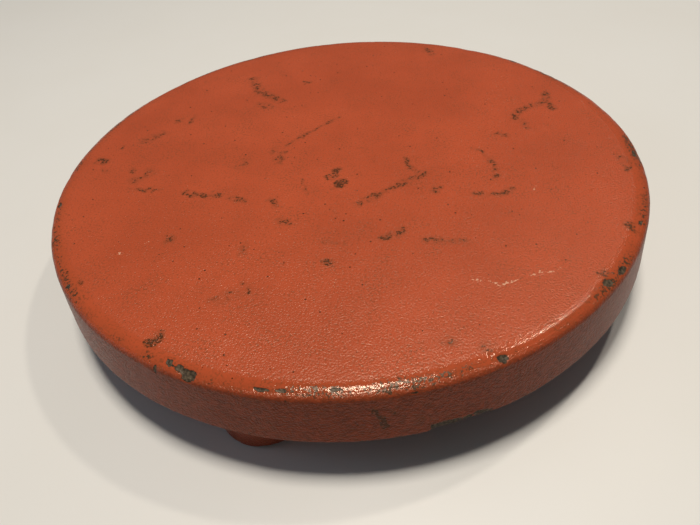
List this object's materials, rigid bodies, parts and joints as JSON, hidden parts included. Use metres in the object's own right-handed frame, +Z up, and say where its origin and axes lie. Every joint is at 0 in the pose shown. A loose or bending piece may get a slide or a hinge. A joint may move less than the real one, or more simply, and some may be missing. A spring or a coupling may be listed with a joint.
{
  "type": "banding wheel",
  "caption": "Low tabletop banding wheel: a skirted round cast-iron head that spins on a ball thrust bearing over a three-armed base with rubber-padded feet.",
  "frame": {"origin": "on the turning axis, level with the bottom of the rubber foot pads, where the wheel stands on a table", "axes": "+Z up along the turning axis; -Y through the middle of the front arm of the base; the other two arms are 120 degrees either side of it"},
  "size_m": [0.2538, 0.2538, 0.04],
  "materials": {
    "wheel_enamel": "orange-red enamel brushed over a sand casting, worn and chipped to dark iron",
    "base_enamel": "the same orange-red enamel, less worn",
    "turned_steel": "turned and oiled",
    "bearing_steel": "hardened and ground, greased",
    "ball_steel": "lapped and polished",
    "cage_brass": "machined",
    "bush_bronze": "sintered, oil-filled",
    "spring_steel": "phosphated",
    "plain_steel": "zinc plated, dulled",
    "screw_steel": "zinc plated",
    "black_steel": "black oxide",
    "dust_felt": "pressed wool felt",
    "foot_rubber": "matt moulded"
  },
  "bodies": {
    "base": {"base_casting": "base_enamel", "lower_race": "bearing_steel", "spindle_bush": "bush_bronze", "felt_dust_ring": "dust_felt", "bottom_cap": "plain_steel", "foot_pad_front": "foot_rubber", "foot_pad_right": "foot_rubber", "foot_pad_left": "foot_rubber", "foot_pad_screw_front": "screw_steel", "foot_pad_screw_right": "screw_steel", "foot_pad_screw_left": "screw_steel"},
    "wheel": {"wheel_head": "wheel_enamel", "spindle": "turned_steel", "set_screw_front": "black_steel", "set_screw_back": "black_steel", "upper_race": "bearing_steel", "keeper_washer": "plain_steel", "retaining_clip": "spring_steel"},
    "ball_set": {"ball_cage": "cage_brass", "thrust_ball_01": "ball_steel", "thrust_ball_02": "ball_steel", "thrust_ball_03": "ball_steel", "thrust_ball_04": "ball_steel", "thrust_ball_05": "ball_steel", "thrust_ball_06": "ball_steel", "thrust_ball_07": "ball_steel", "thrust_ball_08": "ball_steel", "thrust_ball_09": "ball_steel", "thrust_ball_10": "ball_steel", "thrust_ball_11": "ball_steel", "thrust_ball_12": "ball_steel", "thrust_ball_13": "ball_steel", "thrust_ball_14": "ball_steel", "thrust_ball_15": "ball_steel", "thrust_ball_16": "ball_steel"}
  },
  "joints": [
    {"name": "wheel_spin", "type": "hinge", "parent": "base", "child": "wheel", "pos_m": [0, 0, 0.0205], "axis": [0, 0, 1], "continuous": true},
    {"name": "ball_orbit", "type": "hinge", "parent": "base", "child": "ball_set", "pos_m": [0, 0, 0.0205], "axis": [0, 0, 1], "continuous": true}
  ],
  "couplings": [
    {"joint": "ball_orbit", "follows": "wheel_spin", "ratio": 0.5}
  ]
}
